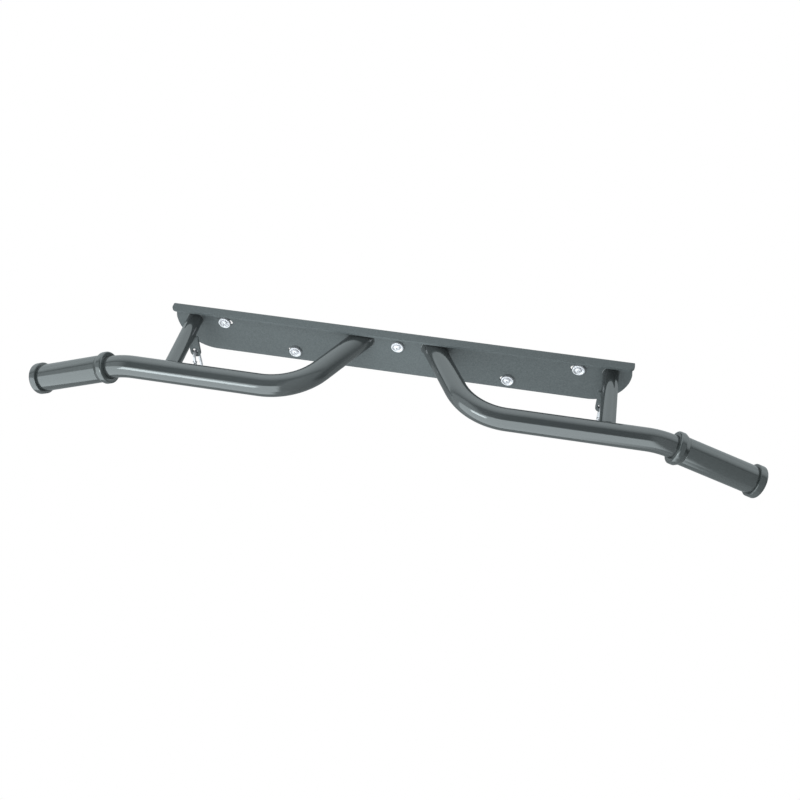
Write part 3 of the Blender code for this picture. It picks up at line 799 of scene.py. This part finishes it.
# %% Grip sections
GRIP_BORE = TUBE_RADIUS + SEAM
SLEEVE_RADIUS = 0.02335
RIM_RADIUS = 0.02735
COLLAR_START = 0.0236
RIM_END = 0.0334
TAPER_END = 0.0410
CAP_START = 0.1654
CAP_END = 0.1787
DISH_RADIUS = 0.0195
DISH_SLOPE = 0.002
DISH_DEPTH = 0.0006
FINE_EDGE = 0.0004
SOFT_EDGE = 0.0006
RIM_EDGE = 0.0008
COLLAR_ROUND = 0.003
CAP_ROUND = 0.0031
GRIP_SECTIONS = {
    "collar": [
        (GRIP_BORE, COLLAR_START, SOFT_EDGE), (RIM_RADIUS, COLLAR_START, COLLAR_ROUND),
        (RIM_RADIUS, RIM_END, RIM_EDGE), (SLEEVE_RADIUS, TAPER_END, 0), (GRIP_BORE, TAPER_END, 0),
    ],
    "sleeve": [
        (GRIP_BORE, TAPER_END + SEAM, 0), (SLEEVE_RADIUS, TAPER_END + SEAM, FINE_EDGE),
        (SLEEVE_RADIUS, CAP_START - SEAM, FINE_EDGE), (GRIP_BORE, CAP_START - SEAM, 0),
    ],
    "end_cap": [
        (0, CAP_FLOOR, 0), (GRIP_BORE, CAP_FLOOR, 0), (GRIP_BORE, CAP_START, FINE_EDGE),
        (RIM_RADIUS, CAP_START, RIM_EDGE), (RIM_RADIUS, CAP_END, CAP_ROUND),
        (DISH_RADIUS, CAP_END, SOFT_EDGE), (DISH_RADIUS - DISH_SLOPE, CAP_END - DISH_DEPTH, SOFT_EDGE),
        (0, CAP_END - DISH_DEPTH, 0),
    ],
}
print("grip length over all:", round(CAP_END - COLLAR_START, 4))

# %% [markdown]
# Each section is turned upright at the origin and laid onto the grip's axis, at either side.

# %% Grips
GRIP_STEPS = 96


def grip_pieces(side, sign):
    onto_grip = Matrix.Rotation(sign * (math.pi / 2 + DROOP), 4, "Y")
    for name, section in GRIP_SECTIONS.items():
        piece = turned(section, GRIP_STEPS)
        piece.matrix_world = Matrix.Translation(droop_corner(sign)) @ onto_grip
        dress(piece, f"{side}_grip_{name}", "frame", GRIP_VINYL, [f"grip_{name}_{side}"])


for side, sign in SIDES.items():
    grip_pieces(side, sign)

# %% [markdown]
# Under each post hangs a flat steel tab, the hook lug. A tab is cut from strip: a block whose two lower
# edges are bevelled until they almost meet in a half circle. A drill makes its hole, and the post's own
# shape cuts the saddle at its top.

# %% Hook lugs
LUG_LOW, LUG_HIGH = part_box("hook_lug_right")
LUG_X = (LUG_LOW.x + LUG_HIGH.x) / 2
LUG_HALF = (LUG_HIGH.x - LUG_LOW.x) / 2
LUG_MIDDLE_Y = (LUG_LOW.y + LUG_HIGH.y) / 2
LUG_EDGE = 0.0006
ALMOST_HALF = 0.999
HOLE_RADIUS = 0.00525
HOLE_DROP = 0.0365
HOLE_Z = TUBE_Z - HOLE_DROP
DRILL_LENGTH = 0.02


def hook_lug(side, sign):
    x = sign * LUG_X
    tab = block((x - LUG_HALF, LUG_LOW.y, LUG_LOW.z), (x + LUG_HALF, LUG_HIGH.y, LUG_HIGH.z))
    edit()
    pick("edges", lambda spot: spot.z < LUG_LOW.z + NEAR and abs(abs(spot.x - x) - LUG_HALF) < NEAR)
    bpy.ops.mesh.bevel(offset=ALMOST_HALF * LUG_HALF, segments=16, affect="EDGES")
    close_up(NEAR)
    leave()
    combine(tab, solid_rod(HOLE_RADIUS, Vector((x, LUG_MIDDLE_Y, HOLE_Z)), OUT, DRILL_LENGTH, 40))
    post_line = Vector((sign * POST_X, LUG_MIDDLE_Y, TUBE_Z))
    combine(tab, solid_rod(POST_RADIUS + SEAM, post_line, OUT, DRILL_LENGTH, POST_SIDES))
    soften(tab, LUG_EDGE)
    dress(tab, side + "_hook_lug", "frame", GRAIN_PAINT, ["hook_lug_" + side])


for side, sign in SIDES.items():
    hook_lug(side, sign)

# %% [markdown]
# The frame is welded where tube meets tube or plate, and ground and painted over, so only a slim round bead
# is left in each corner. A bead follows the line where two pieces meet. That line starts as a circle round
# the tube; it becomes a curve with a round bevel, and then a mesh again.

# %% Bead round a line
BEAD_RADIUS = 0.0011
FINE_BEAD_RADIUS = 0.0008


def bead(line, name, radius=BEAD_RADIUS):
    """Gives a line of edges a round body and the frame's paint."""
    settle(line, name)
    bpy.ops.object.convert(target="CURVE")
    curve = bpy.context.object.data
    curve.bevel_depth = radius
    curve.bevel_resolution = 2
    curve.use_fill_caps = True
    bpy.ops.object.convert(target="MESH")
    edit()
    close_up()
    dress(leave(), name, "frame", GLOSS_PAINT, [])


def ring(radius, x, y):
    """A circle that faces away from the wall at the tubes' height, still in edit mode."""
    open_circle(radius, Vector((x, y, TUBE_Z)), OUT, TUBE_SIDES)


# %% [markdown]
# A tube that meets the plate squarely leaves a circle on it, and a splayed tube leaves an ellipse, longer by
# one over the cosine of its splay. Where the post meets the main tube, the circle is pressed forward onto
# the tube with Shrinkwrap. Round the lug's top, only the part of the circle over the lug is kept.

# %% Weld beads
def weld_beads(side, sign):
    ring(TUBE_RADIUS, sign * (ROOT_X + PLATE_THICKNESS * math.tan(SPLAY)), PLATE_FRONT)
    bpy.ops.transform.resize(value=(1 / math.cos(SPLAY), 1, 1))
    bead(leave(), side + "_root_weld")
    ring(POST_RADIUS, sign * POST_X, PLATE_FRONT)
    bead(leave(), side + "_post_wall_weld")
    ring(POST_RADIUS, sign * POST_X, -STAND_OFF / 2)
    front = leave()
    settle(front, "front")
    apply_modifier(
        front, "SHRINKWRAP", target=bpy.data.objects[side + "_main_tube"], wrap_method="PROJECT",
        use_project_y=True, use_positive_direction=False, use_negative_direction=True,
    )
    bead(front, side + "_post_front_weld", FINE_BEAD_RADIUS)
    for face, y in {"back": LUG_HIGH.y, "front": LUG_LOW.y}.items():
        ring(POST_RADIUS, sign * POST_X, y)
        pick("verts", lambda spot: abs(spot.x - sign * LUG_X) > LUG_HALF or spot.z > TUBE_Z)
        bpy.ops.mesh.delete(type="VERT")
        bead(leave(), f"{side}_lug_{face}_weld", FINE_BEAD_RADIUS)


for side, sign in SIDES.items():
    weld_beads(side, sign)

# %% [markdown]
# Five screws hold the plate, each with a dished washer. All five are alike, so each is made once, upright
# over the origin, and copied to the slots. A copy gets its own mesh, and it keeps the slot's own shift.

# %% Copies at their places
def set_out(piece, places):
    """Copies a piece to each place, each copy with its own mesh, and removes the first one."""
    copies = {}
    for name, place in places.items():
        start()
        piece.select_set(True)
        bpy.context.view_layer.objects.active = piece
        bpy.ops.object.duplicate()
        copies[name] = bpy.context.object
        copies[name].matrix_world = place
    bpy.data.objects.remove(piece)
    return copies


def fixing_places(turn):
    """Out of the wall at each slot, every one turned a little further round its own axis."""
    places = {}
    for count, (name, (x, shift)) in enumerate(SLOTS.items()):
        upright = Matrix.Rotation(math.pi / 2, 4, "X") @ Matrix.Rotation(math.radians(turn * count), 4, "Z")
        places[name] = Matrix.Translation((x + shift, PLATE_FRONT, slot_height(name))) @ upright
    return places


# %% [markdown]
# A dished washer is pressed from sheet: its edge curls down to the plate, and its middle sinks, so that the
# round head sits in it. Seen from the front it is a pale ring with a dark crescent where the dish begins.

# %% Dished washers
WASHER_STEPS = 64
WASHER_SECTION = [
    (0.0043, 0.0003, 0.0002), (0.0114, 0.0003, 0.0003),  # under side, from the bore to the rim
    (0.0114, 0.0024, 0.0009), (0.0106, 0.0040, 0.0008), (0.0094, 0.0046, 0.0008),  # up the curled rim
    (0.0084, 0.0043, 0.0008), (0.0066, 0.0029, 0.0006), (0.0043, 0.0029, 0.0002),  # down the dish to the seat
]
for name, copy in set_out(turned(WASHER_SECTION, WASHER_STEPS), fixing_places(0)).items():
    dress(copy, name + "_dished_washer", "frame", BRIGHT_ZINC, ["cup_washer_" + name])

# %% [markdown]
# A screw's thread is rolled into its shank. Here it is one tooth that the Screw modifier drags round and up,
# from just above the tip, with its foot inside the shank and a hair of room from turn to turn.

# %% Screw thread
SCREW_TIP = -0.0222
THREAD_RADIUS = 0.004
THREAD_ROOT = 0.0034
THREAD_START = 0.0014  # above the tip
PITCH = 0.00125
TURNS = 13
TOOTH_FOOT = 0.0004
TOOTH_RISE = 0.55 * PITCH
TOOTH_HALF = 0.5 * PITCH
TOOTH_ROOM = 0.0001


def thread():
    """A closed ridge, PITCH apart from turn to turn, with filled ends."""
    start()
    bpy.ops.mesh.primitive_plane_add(size=0.001)
    edit()
    bpy.ops.mesh.merge(type="CENTER")
    bpy.ops.transform.translate(value=(THREAD_ROOT - TOOTH_FOOT, 0, SCREW_TIP + THREAD_START + TOOTH_RISE))
    straight((THREAD_RADIUS - THREAD_ROOT + TOOTH_FOOT, 0, -TOOTH_HALF))
    straight((THREAD_ROOT - THREAD_RADIUS - TOOTH_FOOT, 0, -TOOTH_HALF + TOOTH_ROOM))
    bpy.ops.mesh.select_all(action="SELECT")
    bpy.ops.mesh.edge_face_add()
    bpy.ops.mesh.delete(type="ONLY_FACE")
    ridge = leave()
    apply_modifier(ridge, "SCREW", axis="Z", screw_offset=PITCH, iterations=TURNS, steps=24, render_steps=24)
    edit()
    return fill_and_leave()


print("thread:", TURNS, "turns,", round(1000 * PITCH, 2), "mm apart")

# %% [markdown]
# The screw itself is turned on a lathe, with a low round head, and a six-sided punch presses its socket. A
# Boolean joins the thread to the shank, so that the mesh is one closed skin.

# %% Screws
SCREW_SEAT = 0.0031
SCREW_TOP = 0.0056
HEAD_RADIUS = 0.0058
HEAD_SIDE = 0.0004
DOME_HEIGHT = SCREW_TOP - SCREW_SEAT - HEAD_SIDE
POINT_TAPER = 0.001
POINT_LENGTH = 0.0012
NECK_START = -0.0052
NECK_END = -0.0046
TURNED_EDGE = 0.0003
SEAT_EDGE = 0.0002
SOCKET_RADIUS = 0.0022
SOCKET_LENGTH = 0.003
SCREW_STEPS = 48
SCREW_TURN = 24  # degrees from one screw to the next
dome = [math.radians(turn) for turn in (0, 22, 44, 66)]
screw = turned([
    (0, SCREW_TIP, 0), (THREAD_ROOT - POINT_TAPER, SCREW_TIP, TURNED_EDGE),
    (THREAD_ROOT, SCREW_TIP + POINT_LENGTH, TURNED_EDGE), (THREAD_ROOT, NECK_START, 0),
    (THREAD_RADIUS, NECK_END, 0), (THREAD_RADIUS, SCREW_SEAT, 0), (HEAD_RADIUS, SCREW_SEAT, SEAT_EDGE),
    *[(HEAD_RADIUS * math.cos(turn), SCREW_SEAT + HEAD_SIDE + DOME_HEIGHT * math.sin(turn), TURNED_EDGE)
      for turn in dome],
    (0, SCREW_TOP, 0),
], SCREW_STEPS)
combine(screw, thread(), "UNION")
combine(screw, solid_rod(SOCKET_RADIUS, UP * SCREW_TOP, UP, SOCKET_LENGTH, 6))
for name, copy in set_out(screw, fixing_places(SCREW_TURN)).items():
    dress(copy, name + "_screw", "frame", BRIGHT_ZINC, ["screw_" + name])

# %% [markdown]
# A snap hook hangs in each lug's hole. Its body is one wire, bent round a small circle at the top and a
# larger one at the bottom, so its two sides flare a little. All of it is drawn below the origin, the point
# where it hangs, and moved under the lugs at the end. The gate has a frame of its own: its rivet is at the
# origin, and the gate hangs straight down from it.

# %% The hook's lines
WIRE_RADIUS = 0.0025
TOP_BEND = 0.0105
BOTTOM_BEND = 0.0125
HOOK_HEIGHT = 0.055
GATE_REACH = 0.023
HINGE_DROP = 0.0065
HINGE_TO_WIRE = 0.0039
NOSE_SLOPE = math.tan(math.radians(35))
UPPER = Vector((0, 0, -TOP_BEND))
LOWER = Vector((0, 0, BOTTOM_BEND - HOOK_HEIGHT))
FLARE = math.asin((BOTTOM_BEND - TOP_BEND) / (UPPER.z - LOWER.z))
FRONT = Vector((0, -math.cos(FLARE), math.sin(FLARE)))
BACK = Vector((0, math.cos(FLARE), math.sin(FLARE)))
DOWN = Vector((0, -math.sin(FLARE), -math.cos(FLARE)))
HINGE = UPPER + FRONT * TOP_BEND + DOWN * HINGE_DROP
NOSE = HINGE + DOWN * (GATE_REACH + SEAM)
GATE_FRAME = Matrix.Translation(HINGE) @ Matrix.Rotation(-FLARE, 4, "X")
SWING = "hook_swing_"
HOOK_PLACES = {joint["name"].removeprefix(SWING): Matrix.Translation(joint["pos_m"])
               for joint in frame["joints"] if joint["name"].startswith(SWING)}


def hang(piece, name, body, material, node):
    """Copies a piece of the hook to both lugs and dresses the copies."""
    for side, copy in set_out(piece, HOOK_PLACES).items():
        dress(copy, f"{side}_{name}", f"{body}_{side}", material, [f"{node}_{side}"])


for side, place in HOOK_PLACES.items():
    print("the", side, "hook hangs at", [round(v, 4) for v in place.translation])

# %% [markdown]
# The wire is pulled and bent like the tubes. At its front end it is pressed into a flat tongue with a hole
# for the rivet. Its other end, the nose, is cut on a slant, and the gate shuts behind it.

# %% Hook wire
TONGUE_LOW = Vector((-0.001, -0.0019, -0.0022))
TONGUE_HIGH = Vector((0.001, 0.0019, 0.00515))
TONGUE_ROUND = 0.0018
RIVET_HOLE = 0.0011
RIVET_DRILL = 0.01
NOSE_EDGE = 0.0004
WIRE_SIDES = 24
TOP_STEPS = 24
BOTTOM_STEPS = 28


def rivet_drill():
    return solid_rod(RIVET_HOLE, Vector((0, 0, 0)), ACROSS, RIVET_DRILL, 24)


def tongue():
    """The flat end that goes into the gate's fork, in the gate's own frame."""
    flat = block(TONGUE_LOW, TONGUE_HIGH)
    edit()
    pick("edges", lambda spot: spot.z < TONGUE_LOW.z + 2 * NEAR and abs(spot.y) > TONGUE_HIGH.y - NEAR)
    bpy.ops.mesh.bevel(offset=TONGUE_ROUND, segments=6, affect="EDGES")
    leave()
    combine(flat, rivet_drill())
    flat.matrix_world = GATE_FRAME
    return flat


def hook_wire():
    first = HINGE - DOWN * HINGE_TO_WIRE
    open_circle(WIRE_RADIUS, first, -DOWN, WIRE_SIDES)
    straight(UPPER + FRONT * TOP_BEND - first)
    bend(UPPER, ACROSS, 2 * FLARE - math.pi, TOP_STEPS)
    straight(LOWER + BACK * BOTTOM_BEND - UPPER - BACK * TOP_BEND)
    bend(LOWER, ACROSS, -2 * FLARE - math.pi, BOTTOM_STEPS)
    straight(NOSE - DOWN * WIRE_RADIUS - LOWER - FRONT * BOTTOM_BEND)
    bpy.ops.mesh.select_more()
    bpy.ops.mesh.bisect(
        plane_co=NOSE, plane_no=-DOWN - FRONT * NOSE_SLOPE, clear_outer=True, use_fill=True
    )
    bpy.ops.mesh.bevel(offset=NOSE_EDGE, segments=2, affect="EDGES")
    wire = fill_and_leave()
    combine(wire, tongue(), "UNION")
    settle(wire, "wire")
    return wire


hang(hook_wire(), "hook_wire", "hook", BRIGHT_ZINC, "snap_hook")

# %% [markdown]
# The gate is a short tube with a forked end that straddles the tongue. Its free end has the nose's slant. It
# is a rod, cut on the slant, with a slot, a bore for the spring and a cross hole for the rivet.

# %% Gates
GATE_RADIUS = 0.0029
GATE_TOP = 0.002
GATE_NOSE_EDGE = 0.0003
GATE_TOP_ROUND = 0.001
FORK_LOW = (-0.0013, -0.004, -0.0035)
FORK_HIGH = (0.0013, 0.004, 0.004)
BORE_RADIUS = 0.0016
BORE_DEPTH = 0.0125


def gate_tube():
    low = -GATE_REACH - GATE_RADIUS
    gate = solid_rod(GATE_RADIUS, Vector((0, 0, (low + GATE_TOP) / 2)), UP, GATE_TOP - low, 32)
    edit()
    bpy.ops.mesh.select_all(action="SELECT")
    bpy.ops.mesh.bisect(
        plane_co=(0, 0, -GATE_REACH), plane_no=(0, -NOSE_SLOPE, -1), clear_outer=True, use_fill=True
    )
    bpy.ops.mesh.bevel(offset=GATE_NOSE_EDGE, segments=2, affect="EDGES")
    pick("faces", lambda spot: spot.z > GATE_TOP - NEAR / 10)
    bpy.ops.mesh.bevel(offset=GATE_TOP_ROUND, segments=4, affect="EDGES")
    leave()
    combine(gate, block(FORK_LOW, FORK_HIGH))
    combine(gate, solid_rod(BORE_RADIUS, Vector((0, 0, -BORE_DEPTH / 2)), UP, BORE_DEPTH, 24))
    combine(gate, rivet_drill())
    settle(gate, "gate")
    gate.matrix_world = GATE_FRAME
    settle(gate, "gate")
    return gate


hang(gate_tube(), "gate_tube", "gate_arm", BRIGHT_ZINC, "gate")

# %% [markdown]
# The gate turns on a rivet: a pin through fork and tongue, pressed into a low round head at either side. It
# is turned upright, like the screws, and laid across the gate.

# %% Rivets
PIN_RADIUS = 0.0008
RIVET_HEAD = 0.0014
RIVET_REACH = 0.0037
RIVET_SHOULDER = 0.0032
RIVET_EDGE = 0.0003


def rivet():
    pin = turned([
        (0, -RIVET_REACH, 0), (RIVET_HEAD, -RIVET_REACH, RIVET_EDGE), (RIVET_HEAD, -RIVET_SHOULDER, 0),
        (PIN_RADIUS, -RIVET_SHOULDER, 0), (PIN_RADIUS, RIVET_SHOULDER, 0), (RIVET_HEAD, RIVET_SHOULDER, 0),
        (RIVET_HEAD, RIVET_REACH, RIVET_EDGE), (0, RIVET_REACH, 0),
    ], 24)
    pin.matrix_world = GATE_FRAME @ Matrix.Rotation(math.pi / 2, 4, "Y")
    settle(pin, "rivet")
    return pin


hang(rivet(), "rivet", "hook", SPRING_STEEL, "gate_pin")

# %% [markdown]
# A small coil spring in the gate's bore keeps it shut. The coil is one ring of wire that the Screw modifier
# winds six times round the bore's middle, and its two ends are filled.

# %% Springs
COIL_WIRE = 0.0002
COIL_RADIUS = 0.0011
COIL_START = -0.012
COIL_PITCH = 0.0014
COIL_TURNS = 6


def coil():
    open_circle(COIL_WIRE, Vector((COIL_RADIUS, 0, COIL_START)), Vector((0, 1, 0)), 8)
    wire = leave()
    settle(wire, "coil")
    apply_modifier(
        wire, "SCREW", axis="Z", screw_offset=COIL_PITCH, iterations=COIL_TURNS, steps=24, render_steps=24
    )
    edit()
    fill_and_leave()
    wire.matrix_world = GATE_FRAME
    settle(wire, "coil")
    return wire


hang(coil(), "gate_coil", "gate_arm", SPRING_STEEL, "gate_spring")

# %% [markdown]
# Every solid of the model now has its fine piece. The model's own nodes still get the same finishes, each
# by its slot, because they stay in the file under the fine pieces.

# %% Finishes of the model's own nodes
LOOKS = {"paint": GLOSS_PAINT, "grip": GRIP_VINYL, "zinc": BRIGHT_ZINC, "steel": SPRING_STEEL}
for part in frame["record"]["subparts"]:
    node = frame["nodes"][part["node"]]
    node.data.materials.clear()
    node.data.materials.append(LOOKS[part["material_slot"]])
